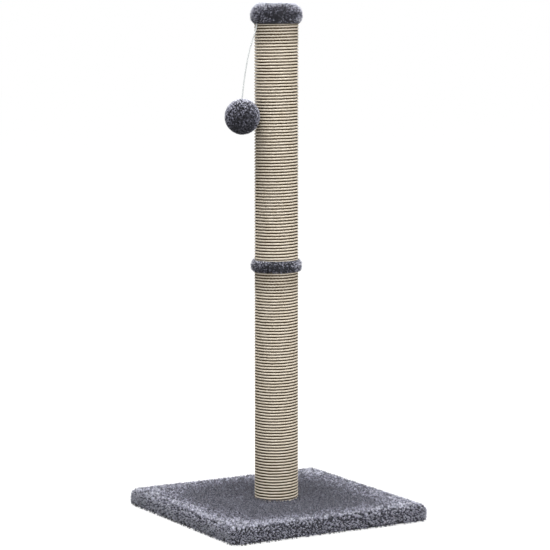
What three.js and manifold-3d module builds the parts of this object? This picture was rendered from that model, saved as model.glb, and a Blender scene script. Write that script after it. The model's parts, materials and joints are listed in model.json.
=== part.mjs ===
// Cat scratching post: a plush-covered square base, two rope-wound tubes screwed end to end,
// a plush collar over their joint, a plush cap, and a plush ball that hangs on a cord from the cap.
// Millimetres, +Z up. The origin is on the floor, in the middle of the base.

import * as THREE from 'three';
import { mergeVertices } from 'three/addons/utils/BufferGeometryUtils.js';
import Module from 'manifold-3d';

const wasm = await Module();
wasm.setup();

// ---------------------------------------------------------------- driving dimensions

// room that is left between two pieces that fit together
const clearance = 0.3;

// base slab
const baseSide = 350;
const baseCornerRadius = 14;
const baseTopEdgeRadius = 8;
const baseBottomEdgeRadius = 3;
const boardThickness = 18;
const basePlushThickness = 5;
const hemThickness = 3.5;
const hemWidth = 32;

// post: two equal paper tubes with wooden plugs in their ends
const tubeOuterRadius = 30;
const tubeWall = 4;
const tubeLength = 380;
const footSink = 3;
const plugThickness = 20;

// rope winding
const ropeHeight = 4.6;
const ropeGrooveDepth = 1.6;
const lowerRopePitch = 4.6;
const upperRopePitch = 4.71;
const ropeGrooveBelowEnd = 1.2;
const ropeGrooveAzimuth = 240;
const ropeStepsPerTurn = 13;

// plush collar over the joint of the two tubes
const collarHeight = 21.4;
const collarOverlap = 1.1;
const collarBulge = 5.5;
const collarLipRadius = 33.5;

// plush cap over the head of the post
const capSkirt = 14.4;
const capPadThickness = 10.4;
const capPadWall = 4.5;
const capPlushThickness = 5.2;
const capHemThickness = 3;
const capFlatRadius = 22;
const capShoulderDrop = 17;
const capUnderRadius = 34.5;
const capUnderRise = 9.6;

// M8 fasteners and what they pass through
const boltRadius = 4;
const boltLength = 42;
const boltHeadAcrossFlats = 13;
const boltHeadHeight = 5.3;
const boltHeadRecess = 1;
const washerRadius = 12;
const washerThickness = 1.6;
const studLength = 60;
const studChamfer = 1;
const boltHoleRadius = 4.5;
const counterboreRoom = 1;
const nutFlangeRadius = 11;
const nutFlangeThickness = 1.5;
const nutBarrelRadius = 5.2;
const nutBarrelLength = 9;

// cord and its staple
const cordRadius = 1;
const cordAzimuth = 182.4;
const cordFirstStretch = 4;
const cordFirstLean = 14;
const cordTailRise = 13.6;
const stapleWire = 0.7;
const stapleDepth = 1.2;
const stapleLeg = 5.2;
const stapleDrop = 3.6;

// ball
const ballRadius = 27.3;
const ballPlushThickness = 5;
const ballHeight = 628;
const ballKnotRadius = 3;

// facets
const roundSteps = 26;
const smallSteps = 14;
const cordSides = 8;
const cornerSteps = 5;

// ---------------------------------------------------------------- sizes that follow

const tubeInnerRadius = tubeOuterRadius - tubeWall;
const sleeveBoreRadius = tubeOuterRadius + clearance;
const postRadius = tubeOuterRadius + ropeHeight;

const boardBottom = hemThickness;
const boardTop = boardBottom + boardThickness;
const baseTop = boardTop + basePlushThickness;
const footHeight = baseTop - footSink;
const jointHeight = footHeight + tubeLength;
const upperTubeBottom = jointHeight + clearance;
const upperTubeTop = upperTubeBottom + tubeLength;

const collarTop = jointHeight + collarOverlap;
const collarBottom = collarTop - collarHeight;
const lowerRopeTop = collarBottom - clearance;
const upperRopeBottom = collarTop + clearance;

const capBottom = upperTubeTop - capSkirt;
const capPadBottom = capBottom + capHemThickness + clearance;
const capPadUnderside = upperTubeTop + clearance;
const capPadTop = capPadUnderside + capPadThickness;
const capTop = capPadTop + clearance + capPlushThickness;
const capPadRadius = sleeveBoreRadius + capPadWall;
const capRadius = capPadRadius + clearance + capPlushThickness;
const capShoulder = capTop - capShoulderDrop;
const upperRopeTop = capBottom - clearance;

const cordExitRadius = postRadius + clearance + cordRadius;
const cordPivotHeight = capBottom - clearance - cordRadius;
const ballReach = postRadius + clearance + ballRadius;
const ballCoreRadius = ballRadius - clearance - ballPlushThickness;
const cordHoleRadius = cordRadius + clearance;

// ---------------------------------------------------------------- materials

const plush = new THREE.MeshStandardMaterial({ color: 0x5d5d69, roughness: 1, metalness: 0 });
const sisal = new THREE.MeshStandardMaterial({ color: 0xcabda2, roughness: 0.9, metalness: 0 });
const chipboard = new THREE.MeshStandardMaterial({ color: 0xb69b72, roughness: 0.85, metalness: 0 });
const greyPaper = new THREE.MeshStandardMaterial({ color: 0x9a8e7c, roughness: 0.9, metalness: 0 });
const pine = new THREE.MeshStandardMaterial({ color: 0xd2b583, roughness: 0.75, metalness: 0 });
const zincSteel = new THREE.MeshStandardMaterial({ color: 0xb9bcc0, roughness: 0.35, metalness: 1 });
const foam = new THREE.MeshStandardMaterial({ color: 0xe9e6da, roughness: 1, metalness: 0 });
const whiteCord = new THREE.MeshStandardMaterial({ color: 0xf0efec, roughness: 0.8, metalness: 0 });

// ---------------------------------------------------------------- making and cutting solids

// The volume inside a mesh. It is negative when the faces point inwards.
function signedVolume(positions, index) {
  const a = new THREE.Vector3();
  const b = new THREE.Vector3();
  const c = new THREE.Vector3();
  let total = 0;
  for (let i = 0; i < index.length; i += 3) {
    a.fromBufferAttribute(positions, index[i]);
    b.fromBufferAttribute(positions, index[i + 1]);
    c.fromBufferAttribute(positions, index[i + 2]);
    total += a.dot(b.cross(c)) / 6;
  }
  return total;
}

// A closed mesh becomes a solid that can be joined and cut. Its triangles of no area, such as
// those where a turned profile meets the axis, are left out, and its faces are made to point out.
function solid(geometry) {
  const bare = geometry.clone();
  bare.deleteAttribute('normal');
  bare.deleteAttribute('uv');
  const merged = mergeVertices(bare, 1e-4);
  const source = merged.index.array;
  const kept = [];
  for (let i = 0; i < source.length; i += 3) {
    const [a, b, c] = [source[i], source[i + 1], source[i + 2]];
    if (a !== b && b !== c && c !== a) {
      kept.push(a, b, c);
    }
  }
  const inward = signedVolume(merged.attributes.position, kept) < 0;
  const triVerts = Uint32Array.from(inward ? kept.reverse() : kept);
  const vertProperties = Float32Array.from(merged.attributes.position.array);
  return new wasm.Manifold(new wasm.Mesh({ numProp: 3, vertProperties, triVerts }));
}

// Gives a solid back as a named mesh.
function piece(name, body, material) {
  const { vertProperties, triVerts } = body.getMesh();
  const geometry = new THREE.BufferGeometry();
  geometry.setAttribute('position', new THREE.BufferAttribute(Float32Array.from(vertProperties), 3));
  geometry.setIndex(new THREE.BufferAttribute(Uint32Array.from(triVerts), 1));
  geometry.computeVertexNormals();
  const mesh = new THREE.Mesh(geometry, material);
  mesh.name = name;
  return mesh;
}

// A profile of [radius, height] points turned round the Z axis.
function turned(profile, steps = roundSteps) {
  const points = profile.map(([radius, height]) => new THREE.Vector2(radius, height));
  return solid(new THREE.LatheGeometry(points, steps).rotateX(Math.PI / 2));
}

// A solid cylinder, or a tube when an inner radius is given.
function cylinder(radius, bottom, top, innerRadius = 0, steps = roundSteps) {
  const profile = [[innerRadius, bottom], [radius, bottom], [radius, top], [innerRadius, top]];
  if (innerRadius > 0) {
    profile.push([innerRadius, bottom]);
  }
  return turned(profile, steps);
}

// Points on a quarter of a superellipse, from angle 0 (out along +radius) to 90 degrees (up).
// Power 2 is an ellipse, and a larger power is squarer.
function quarterRound(centre, middle, halfWidth, halfHeight, steps, power = 2) {
  const points = [];
  for (let i = 0; i <= steps; i += 1) {
    const angle = (i / steps) * Math.PI / 2;
    const radius = centre + halfWidth * Math.cos(angle) ** (2 / power);
    points.push([radius, middle + halfHeight * Math.sin(angle) ** (2 / power)]);
  }
  return points;
}

function roundedSquare(side, cornerRadius) {
  const half = side / 2;
  const inner = half - cornerRadius;
  const shape = new THREE.Shape();
  shape.moveTo(half, -inner);
  shape.absarc(inner, inner, cornerRadius, 0, Math.PI / 2);
  shape.absarc(-inner, inner, cornerRadius, Math.PI / 2, Math.PI);
  shape.absarc(-inner, -inner, cornerRadius, Math.PI, 3 * Math.PI / 2);
  shape.absarc(inner, -inner, cornerRadius, 3 * Math.PI / 2, 2 * Math.PI);
  return shape;
}

// A square slab with rounded corners, and edges rounded by edgeRadius.
function slab(side, cornerRadius, bottom, top, edgeRadius = 0) {
  const rounded = edgeRadius > 0;
  const geometry = new THREE.ExtrudeGeometry(roundedSquare(side, cornerRadius), {
    depth: top - bottom - 2 * edgeRadius,
    curveSegments: cornerSteps,
    bevelEnabled: rounded,
    bevelThickness: edgeRadius,
    bevelSize: edgeRadius,
    bevelOffset: -edgeRadius,
    bevelSegments: 4,
  });
  return solid(geometry.translate(0, 0, bottom + edgeRadius));
}

// A round cord along a curve.
function tubeAlong(curve, radius, steps, sides = cordSides) {
  const section = new THREE.Shape();
  for (let i = 0; i < sides; i += 1) {
    const angle = (i / sides) * 2 * Math.PI;
    const [x, y] = [radius * Math.cos(angle), radius * Math.sin(angle)];
    if (i === 0) {
      section.moveTo(x, y);
    } else {
      section.lineTo(x, y);
    }
  }
  section.closePath();
  return solid(new THREE.ExtrudeGeometry(section, { steps, bevelEnabled: false, extrudePath: curve }));
}

// A point at a distance out from the post's axis, on the side where the cord hangs.
function onCordSide(radius, height) {
  const angle = THREE.MathUtils.degToRad(cordAzimuth);
  return new THREE.Vector3(radius * Math.cos(angle), radius * Math.sin(angle), height);
}

function curveOnCordSide(route) {
  return new THREE.CatmullRomCurve3(route.map(([radius, height]) => onCordSide(radius, height)));
}

// Turns a solid that was made on the +X side so that it lies where the cord hangs.
function turnedToCordSide(body) {
  return body.rotate([0, 0, cordAzimuth]);
}

// ---------------------------------------------------------------- base

function baseBoard() {
  const side = baseSide - 2 * basePlushThickness;
  const board = slab(side, baseCornerRadius - basePlushThickness, boardBottom, boardTop);
  const hole = cylinder(boltHoleRadius, boardBottom - 1, boardTop + 1, 0, smallSteps);
  const counterbore = cylinder(washerRadius + counterboreRoom, boardBottom - 1, washerSeat);
  return board.subtract(hole).subtract(counterbore);
}

// The cover is open below inside its hem, has a hole for the bolt, and is pressed down under the post.
function basePlush() {
  const roundedAbove = slab(baseSide, baseCornerRadius, -baseTop, baseTop, baseTopEdgeRadius);
  const roundedBelow = slab(baseSide, baseCornerRadius, 0, 2 * baseTop, baseBottomEdgeRadius);
  const room = 2 * (basePlushThickness - clearance);
  const cavity = slab(
    baseSide - room,
    baseCornerRadius - room / 2,
    boardBottom - clearance,
    boardTop + clearance,
  );
  const window = slab(baseSide - 2 * hemWidth, baseCornerRadius, -1, boardBottom + 1);
  const boltHole = cylinder(boltHoleRadius + 1, boardTop - 1, baseTop + 1, 0, smallSteps);
  const footRecess = cylinder(postRadius + clearance, footHeight - clearance, baseTop + 1);
  return roundedAbove
    .intersect(roundedBelow)
    .subtract(cavity)
    .subtract(window)
    .subtract(boltHole)
    .subtract(footRecess);
}

const boltHeadBottom = boardBottom + boltHeadRecess;
const boltHeadTop = boltHeadBottom + boltHeadHeight;
const washerBottom = boltHeadTop + clearance;
const washerSeat = washerBottom + washerThickness + clearance;

function baseBolt() {
  const headRadius = boltHeadAcrossFlats / Math.sqrt(3);
  const head = cylinder(headRadius, boltHeadBottom, boltHeadTop, 0, 6);
  return head.add(shaft(boltHeadTop - 1, boltHeadTop + boltLength));
}

// A threaded shaft, with a chamfer at its upper end.
function shaft(bottom, top) {
  return turned([
    [0, bottom],
    [boltRadius, bottom],
    [boltRadius, top - studChamfer],
    [boltRadius - studChamfer, top],
    [0, top],
  ], smallSteps);
}

function baseWasher() {
  const hole = boltRadius + clearance;
  return cylinder(washerRadius, washerBottom, washerBottom + washerThickness, hole, smallSteps);
}

// ---------------------------------------------------------------- tubes, plugs and fasteners

function paperTube(bottom) {
  return cylinder(tubeOuterRadius, bottom, bottom + tubeLength, tubeInnerRadius);
}

// A wooden plug with a through hole, widened for the barrel of a nut. The nut's flange lies on
// the plug's inner end, so that the screw pulls it against the wood.
function plug(bottom, nutAbove) {
  const top = bottom + plugThickness;
  const room = nutBarrelLength + clearance;
  const [from, to] = nutAbove ? [top - room, top + 1] : [bottom - 1, bottom + room];
  return cylinder(tubeInnerRadius - clearance, bottom, top, boltRadius + clearance)
    .subtract(cylinder(nutBarrelRadius + clearance, from, to, 0, smallSteps));
}

// A flanged drive-in nut. Its flange starts at seat, and its barrel points down or up from there.
function flangedNut(seat, barrelDown) {
  const way = barrelDown ? 1 : -1;
  const bore = boltRadius + clearance;
  return turned([
    [bore, seat - way * nutBarrelLength],
    [nutBarrelRadius, seat - way * nutBarrelLength],
    [nutBarrelRadius, seat],
    [nutFlangeRadius, seat],
    [nutFlangeRadius, seat + way * nutFlangeThickness],
    [bore, seat + way * nutFlangeThickness],
    [bore, seat - way * nutBarrelLength],
  ], smallSteps);
}

function jointStud() {
  const middle = (jointHeight + upperTubeBottom) / 2;
  const half = studLength / 2;
  return turned([
    [0, middle - half],
    [boltRadius - studChamfer, middle - half],
    [boltRadius, middle - half + studChamfer],
    [boltRadius, middle + half - studChamfer],
    [boltRadius - studChamfer, middle + half],
    [0, middle + half],
  ], smallSteps);
}

// ---------------------------------------------------------------- rope

// One layer of rope wound tight round the tube. Its turns touch, so they are modelled as one sleeve
// whose ridge and groove climb in a single unbroken helix, one turn per pitch, cut level at both ends.
function ropeWinding(name, bottom, top, pitch) {
  const ridgeRadius = postRadius;
  const grooveRadius = postRadius - ropeGrooveDepth;
  const grooveAtFront = top - ropeGrooveBelowEnd;
  const grooveAtZero = grooveAtFront - pitch * ropeGrooveAzimuth / 360;
  const turnsBelow = Math.ceil((grooveAtZero - bottom) / pitch) + 2;
  const start = grooveAtZero - turnsBelow * pitch;
  const turns = Math.ceil((top - start) / pitch) + 1;
  const steps = turns * ropeStepsPerTurn;

  const positions = [];
  const index = [];
  const addPoint = (radius, k, lift) => {
    const angle = (k / ropeStepsPerTurn) * 2 * Math.PI;
    const height = start + (k / ropeStepsPerTurn) * pitch + lift;
    positions.push(radius * Math.cos(angle), radius * Math.sin(angle), height);
    return positions.length / 3 - 1;
  };
  const groove = [];
  for (let k = 0; k <= steps + ropeStepsPerTurn; k += 1) {
    groove.push(addPoint(grooveRadius, k, 0));
  }
  const ridge = [];
  for (let k = 0; k <= steps; k += 1) {
    ridge.push(addPoint(ridgeRadius, k, pitch / 2));
  }
  for (let k = 0; k < steps; k += 1) {
    const above = k + ropeStepsPerTurn;
    index.push(groove[k], groove[k + 1], ridge[k + 1], groove[k], ridge[k + 1], ridge[k]);
    index.push(ridge[k], ridge[k + 1], groove[above + 1], ridge[k], groove[above + 1], groove[above]);
  }
  // Each end is closed by a fan round a point on the axis. The level cuts take both fans off.
  const closeEnd = (k, flip) => {
    const centre = addPoint(0, k, pitch / 2);
    const rim = [ridge[k], groove[k]];
    for (let j = 1; j <= ropeStepsPerTurn; j += 1) {
      rim.push(groove[k + j]);
    }
    for (let j = 0; j < rim.length; j += 1) {
      const [from, to] = [rim[j], rim[(j + 1) % rim.length]];
      index.push(centre, ...(flip ? [from, to] : [to, from]));
    }
  };
  closeEnd(0, false);
  closeEnd(steps, true);

  const geometry = new THREE.BufferGeometry();
  geometry.setAttribute('position', new THREE.Float32BufferAttribute(positions, 3));
  geometry.setIndex(index);
  const woundTurns = (top - bottom) / pitch;
  const turnLength = Math.hypot(2 * Math.PI * (postRadius - ropeHeight / 2), pitch);
  console.log(`${name}: ${woundTurns.toFixed(1)} turns, ${(woundTurns * turnLength / 1000).toFixed(1)} m`);
  return solid(geometry).intersect(cylinder(postRadius + 1, bottom, top, sleeveBoreRadius));
}

// ---------------------------------------------------------------- collar and cap

function collarPlush() {
  const middle = (collarTop + collarBottom) / 2;
  const bulgeWidth = postRadius + collarBulge - collarLipRadius;
  const outer = quarterRound(collarLipRadius, 0, bulgeWidth, collarHeight / 2, 6, 2.4);
  const upper = outer.map(([radius, rise]) => [radius, middle + rise]);
  const lower = outer.slice(1).map(([radius, rise]) => [radius, middle - rise]).reverse();
  return turned([
    [sleeveBoreRadius, collarBottom],
    ...lower,
    ...upper,
    [sleeveBoreRadius, collarTop],
    [sleeveBoreRadius, collarBottom],
  ]);
}

// The cap's outline above its shoulder, moved inwards by inset.
function capDome(inset, steps) {
  const width = capRadius - capFlatRadius - inset;
  return quarterRound(capFlatRadius, capShoulder, width, capShoulderDrop - inset, steps, 2.2);
}

function capPad() {
  const dome = capDome(capRadius - capPadRadius, 5);
  const body = turned([
    [0, capPadUnderside],
    [sleeveBoreRadius, capPadUnderside],
    [sleeveBoreRadius, capPadBottom],
    [capPadRadius, capPadBottom],
    ...dome,
    [0, capPadTop],
  ]);
  return body.subtract(cordChannel()).subtract(staplePocket());
}

function capPlush() {
  const inset = capPlushThickness;
  const under = quarterRound(capUnderRadius, 0, capRadius - capUnderRadius, capUnderRise, 5)
    .map(([radius, drop]) => [radius, capBottom + capUnderRise - drop])
    .reverse();
  const body = turned([
    [0, capTop],
    ...capDome(0, 8).reverse(),
    ...under.reverse(),
    [sleeveBoreRadius, capBottom],
    [sleeveBoreRadius, capBottom + capHemThickness],
    [capRadius - inset, capBottom + capHemThickness],
    ...capDome(inset, 5),
    [0, capTop - inset],
  ]);
  return body.subtract(cordChannel());
}

// ---------------------------------------------------------------- cord

// The end of the cord that is held: up past the rope's end, in to the bare tube and up along it.
const tailTop = capBottom + cordTailRise;
const tailHugRadius = tubeOuterRadius + clearance + cordRadius;
const tailRoute = [
  [cordExitRadius, capBottom],
  [cordExitRadius, capBottom + 1.5],
  [cordExitRadius - 1.4, capBottom + 4.2],
  [tailHugRadius + 0.9, capBottom + 6.9],
  [tailHugRadius, capBottom + 9.4],
  [tailHugRadius, tailTop],
];
const stapleHeight = tailTop - stapleDrop;

function cordTail() {
  return tubeAlong(curveOnCordSide(tailRoute), cordRadius, 10);
}

// The way that the held end takes through the hem and the pad of the cap.
function cordChannel() {
  const [firstRadius, firstHeight] = tailRoute[0];
  const route = [[firstRadius, firstHeight - 2], ...tailRoute, [tailHugRadius, tailTop + 2 * clearance]];
  return tubeAlong(curveOnCordSide(route), cordRadius + clearance + 0.1, 14);
}

// The staple straddles the cord, and its two legs are driven into the tube's wall.
const stapleGap = cordRadius + clearance;
const stapleInside = tailHugRadius + stapleGap;
const stapleOutside = stapleInside + stapleWire;
const stapleTip = stapleOutside - stapleLeg;

// Room makes it larger all round, for the hole that it needs in the tube.
function staple(room = 0) {
  const shape = new THREE.Shape();
  const [inner, outer] = [stapleGap - room, stapleGap + stapleWire + room];
  shape.moveTo(stapleOutside + room, -outer);
  shape.lineTo(stapleOutside + room, outer);
  shape.lineTo(stapleTip - room, outer);
  shape.lineTo(stapleTip - room, inner);
  shape.lineTo(stapleInside - room, inner);
  shape.lineTo(stapleInside - room, -inner);
  shape.lineTo(stapleTip - room, -inner);
  shape.lineTo(stapleTip - room, -outer);
  const depth = stapleDepth + 2 * room;
  const geometry = new THREE.ExtrudeGeometry(shape, { depth, bevelEnabled: false });
  return turnedToCordSide(solid(geometry.translate(0, 0, stapleHeight - depth / 2)));
}

// The dent that the staple's crown presses into the inside of the pad.
function staplePocket() {
  const depth = stapleOutside + clearance - tubeOuterRadius;
  const width = 2 * (stapleGap + stapleWire + clearance);
  const box = new THREE.BoxGeometry(depth, width, stapleDepth + 2 * clearance);
  return turnedToCordSide(solid(box.translate(tubeOuterRadius + depth / 2, 0, stapleHeight)));
}

// The first stretch under the cap has rounded ends, so that it can swing about either of them.
function cordFirstPiece() {
  const end = quarterRound(0, 0, cordRadius, cordRadius, 3);
  const upper = end;
  const lower = end.map(([radius, drop]) => [radius, -cordFirstStretch - drop]).reverse();
  const body = turned([...lower, ...upper], cordSides);
  const hung = body.rotate([0, -cordFirstLean, 0]).translate([cordExitRadius, 0, cordPivotHeight]);
  return turnedToCordSide(hung);
}

// The rest of the free cord, bowed out a little and straight down into the ball.
const cordRoute = [
  [37.18, 762.95],
  [38.6, 758.2],
  [40.7, 752.0],
  [43.5, 744.6],
  [46.3, 737.0],
  [49.0, 728.6],
  [51.5, 719.4],
  [53.7, 710.0],
  [55.7, 700.0],
  [57.5, 690.0],
  [59.1, 680.0],
  [60.5, 670.0],
  [61.6, 662.0],
  [62.1, 658.0],
  [62.2, 655.6],
];

function cordMainPiece() {
  const curve = curveOnCordSide(cordRoute);
  const length = curve.getLength() + cordFirstStretch + cordRadius + clearance;
  console.log(`free cord: ${length.toFixed(1)} mm`);
  return tubeAlong(curve, cordRadius, 26);
}

// ---------------------------------------------------------------- ball, made round its own centre

const knotPocketRadius = ballKnotRadius + clearance;
const knotPocketDepth = 2 * ballKnotRadius + 2 * clearance;

// Points on a ball's outline from the edge of a hole on top down to the lowest point.
function ballOutline(radius, holeRadius, steps) {
  const first = Math.asin(holeRadius / radius);
  const points = [];
  for (let i = 0; i <= steps; i += 1) {
    const angle = first + (i / steps) * (Math.PI - first);
    points.push([i === steps ? 0 : radius * Math.sin(angle), radius * Math.cos(angle)]);
  }
  return points;
}

function ballPlush() {
  const inner = ballOutline(ballRadius - ballPlushThickness, cordHoleRadius, 10);
  return turned([...ballOutline(ballRadius, cordHoleRadius, 16).reverse(), ...inner]);
}

function ballCore() {
  const body = turned([[0, ballCoreRadius], ...ballOutline(ballCoreRadius, 0, 12).slice(1)]);
  const bore = cylinder(cordHoleRadius, -ballCoreRadius, ballCoreRadius + 1, 0, cordSides);
  const pocketTop = knotPocketDepth - ballCoreRadius;
  return body.subtract(bore).subtract(cylinder(knotPocketRadius, -ballCoreRadius - 1, pocketTop, 0, smallSteps));
}

// The cord goes through the core and ends in a knot that cannot be pulled back up.
function ballCordEnd() {
  const knotCentre = ballKnotRadius + clearance - ballCoreRadius;
  const stretch = cylinder(cordRadius, knotCentre, ballRadius, 0, cordSides);
  const knot = new THREE.SphereGeometry(ballKnotRadius, 10, 6).rotateX(Math.PI / 2);
  return stretch.add(solid(knot.translate(0, 0, knotCentre)));
}

// ---------------------------------------------------------------- the post, put together

const post = new THREE.Group();

post.add(piece('base_board', baseBoard(), chipboard));
post.add(piece('base_plush', basePlush(), plush));
post.add(piece('base_bolt', baseBolt(), zincSteel));
post.add(piece('base_washer', baseWasher(), zincSteel));

const lowerFootPlugTop = footHeight + plugThickness;
const lowerHeadPlugBottom = jointHeight - plugThickness;
post.add(piece('lower_tube', paperTube(footHeight), greyPaper));
post.add(piece('lower_foot_plug', plug(footHeight, true), pine));
post.add(piece('lower_foot_nut', flangedNut(lowerFootPlugTop + clearance, true), zincSteel));
post.add(piece('lower_head_plug', plug(lowerHeadPlugBottom, false), pine));
post.add(piece('lower_head_nut', flangedNut(lowerHeadPlugBottom - clearance, false), zincSteel));
post.add(piece('joint_stud', jointStud(), zincSteel));

const upperFootPlugTop = upperTubeBottom + plugThickness;
const upperTube = paperTube(upperTubeBottom).subtract(staple(clearance));
const upperHeadPlug = cylinder(tubeInnerRadius - clearance, upperTubeTop - plugThickness, upperTubeTop);
post.add(piece('upper_tube', upperTube, greyPaper));
post.add(piece('upper_foot_plug', plug(upperTubeBottom, true), pine));
post.add(piece('upper_foot_nut', flangedNut(upperFootPlugTop + clearance, true), zincSteel));
post.add(piece('upper_head_plug', upperHeadPlug, pine));

const lowerSisal = ropeWinding('lower rope', footHeight, lowerRopeTop, lowerRopePitch);
const upperSisal = ropeWinding('upper rope', upperRopeBottom, upperRopeTop, upperRopePitch);
post.add(piece('lower_sisal', lowerSisal, sisal));
post.add(piece('upper_sisal', upperSisal, sisal));

post.add(piece('collar_plush', collarPlush(), plush));
post.add(piece('cap_pad', capPad(), foam));
post.add(piece('cap_plush', capPlush(), plush));

post.add(piece('cord_tail', cordTail(), whiteCord));
post.add(piece('cord_staple', staple(), zincSteel));
post.add(piece('cord_first_stretch', cordFirstPiece(), whiteCord));
post.add(piece('cord_main_stretch', cordMainPiece(), whiteCord));

const ball = new THREE.Group();
ball.position.copy(onCordSide(ballReach, ballHeight));
ball.add(piece('ball_core', ballCore(), foam));
ball.add(piece('ball_plush', ballPlush(), plush));
ball.add(piece('ball_cord_end', ballCordEnd(), whiteCord));
post.add(ball);

export default post;
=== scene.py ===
# %% [markdown]
# # A cat scratching post
#
# A square board covered in grey plush carries a tall post that is wound with sisal rope. A plush
# collar hides the joint of the two tubes, a plush cap closes the top, and a plush ball hangs from the
# cap on a white elastic cord. The frame that is loaded here holds every piece at its real size and
# place. This script dresses it: it covers, winds and paints the pieces and never moves them.

import json
import math

import bmesh
import bpy
import numpy as np
from mathutils import Matrix, Vector, noise
from mathutils.kdtree import KDTree

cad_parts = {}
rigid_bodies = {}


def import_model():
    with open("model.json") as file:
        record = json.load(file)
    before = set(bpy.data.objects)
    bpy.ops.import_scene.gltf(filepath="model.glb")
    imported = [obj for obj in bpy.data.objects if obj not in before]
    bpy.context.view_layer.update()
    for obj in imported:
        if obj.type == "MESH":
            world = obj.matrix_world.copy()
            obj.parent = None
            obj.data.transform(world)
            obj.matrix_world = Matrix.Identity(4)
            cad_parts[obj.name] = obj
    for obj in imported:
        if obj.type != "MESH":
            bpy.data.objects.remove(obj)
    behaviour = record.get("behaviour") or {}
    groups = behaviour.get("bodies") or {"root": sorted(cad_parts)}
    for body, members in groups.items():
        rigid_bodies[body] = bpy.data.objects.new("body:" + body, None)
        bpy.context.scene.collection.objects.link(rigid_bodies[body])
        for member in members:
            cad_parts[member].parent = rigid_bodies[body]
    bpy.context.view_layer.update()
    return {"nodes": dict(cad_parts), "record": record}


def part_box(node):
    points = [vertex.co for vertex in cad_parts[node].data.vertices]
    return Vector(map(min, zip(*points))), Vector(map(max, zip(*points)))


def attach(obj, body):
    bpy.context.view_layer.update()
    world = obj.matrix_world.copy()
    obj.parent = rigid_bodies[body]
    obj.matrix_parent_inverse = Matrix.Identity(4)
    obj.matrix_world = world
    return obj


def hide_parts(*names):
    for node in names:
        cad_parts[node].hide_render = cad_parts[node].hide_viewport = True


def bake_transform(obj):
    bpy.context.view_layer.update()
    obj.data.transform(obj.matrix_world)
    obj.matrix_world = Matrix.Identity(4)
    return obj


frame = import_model()
MM = 0.001
print("pieces in the frame:", len(frame["nodes"]))


# %% a helper for objects
def shown(name, data):
    """A new object in the scene, made of a mesh, a curve, a lamp or a camera."""
    thing = bpy.data.objects.new(name, data)
    bpy.context.scene.collection.objects.link(thing)
    return thing


# %% [markdown]
# ## The camera
#
# The picture looks at a corner of the base from a little above, with a long lens, so the post's sides
# stay almost parallel. The camera's turn, tilt and distance could be found by trial, but the heights of
# the cap, the collar and the base's corners fix all three, so they are written here as real numbers.

# %% camera
CAMERA_TURN = math.radians(30.116)  # how far it stands round from the front
CAMERA_TILT = math.radians(6.706)  # how far it looks down
CAMERA_DISTANCE = 3.65035
CAMERA_HEIGHT = 0.80814
CAMERA_SIDESTEP = -0.00215
SENSOR = 36.0
LENS = 153.82

to_the_right = Vector((math.cos(CAMERA_TURN), -math.sin(CAMERA_TURN), 0))
away = Vector((math.sin(CAMERA_TURN), math.cos(CAMERA_TURN), 0))

lens = bpy.data.cameras.new("camera")
lens.sensor_width = SENSOR
lens.lens = LENS
camera = shown("camera", lens)
camera.location = to_the_right * CAMERA_SIDESTEP - away * CAMERA_DISTANCE + Vector((0, 0, CAMERA_HEIGHT))
camera.rotation_euler = (math.pi / 2 - CAMERA_TILT, 0, -CAMERA_TURN)
bpy.context.scene.camera = camera
print("camera at", [round(x, 3) for x in camera.location])


# %% [markdown]
# ## Small helpers
#
# Every finished piece is a mesh whose object sits at the origin. A bmesh becomes such an object in one
# helper, and a piece that modifiers shaped is baked down to a plain mesh in another. The operators make
# the same faces on each run but not always in the same order, so a finished bmesh is sorted by place.

# %% helpers for meshes
SORTING = Vector((1.0, 1.414, 1.732))  # a slanted direction, so that no two corners of a shape tie


def finished(name, bm, smooth=True):
    """Turns a bmesh into an object in the scene, sorted, with its normals outwards."""
    bmesh.ops.recalc_face_normals(bm, faces=bm.faces)
    bm.verts.sort(key=lambda vertex: vertex.co.dot(SORTING))
    bm.faces.sort(key=lambda face: face.calc_center_median().dot(SORTING))
    for face in bm.faces:
        face.smooth = smooth
    mesh = bpy.data.meshes.new(name)
    bm.to_mesh(mesh)
    bm.free()
    return shown(name, mesh)


def settled(piece):
    """Applies the modifiers of a piece, or makes a mesh of a curve."""
    graph = bpy.context.evaluated_depsgraph_get()
    mesh = bpy.data.meshes.new_from_object(
        piece.evaluated_get(graph), preserve_all_data_layers=True, depsgraph=graph
    )
    name = piece.name
    bpy.data.objects.remove(piece)
    return shown(name, mesh)


def count(piece):
    """The number of triangles of a piece."""
    piece.data.calc_loop_triangles()
    return len(piece.data.loop_triangles)


def numbers(mesh, name, width=1):
    """A point attribute of a mesh as a numpy array."""
    found = np.zeros(len(mesh.vertices) * width, np.float32)
    mesh.attributes[name].data.foreach_get("vector" if width == 3 else "value", found)
    return found.reshape(-1, width) if width > 1 else found


def smooth_step(low, high, value):
    t = np.clip((value - low) / (high - low), 0, 1)
    return t * t * (3 - 2 * t)


# %% [markdown]
# ## The elastic cord
#
# The ball hangs on about 12 cm of round white elastic, 2 mm thick. It leaves the cap's lower edge,
# leans out, and bows down to the top of the ball. A thick curve is the plain way to make it. The curve
# becomes a mesh here; the cord bends at its first joint, but this mesh is not attached to either body.

# %% cord
CORD_AZIMUTH = math.radians(182.4)
CORD_DIAMETER = 2 * MM
CORD_STEPS = 6  # between two points of the route
CORD_ROUTE = [  # distance from the post's axis and height, in millimetres
    (35.9, 769.1),
    (35.92, 768.1),
    (36.4, 766.2),
    (36.868, 764.219),
    (37.18, 762.95),
    (38.6, 758.2),
    (40.7, 752.0),
    (43.5, 744.6),
    (46.3, 737.0),
    (49.0, 728.6),
    (51.5, 719.4),
    (53.7, 710.0),
    (55.7, 700.0),
    (57.5, 690.0),
    (59.1, 680.0),
    (60.5, 670.0),
    (61.6, 662.0),
    (62.1, 658.0),
    (62.2, 655.6),
]


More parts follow.
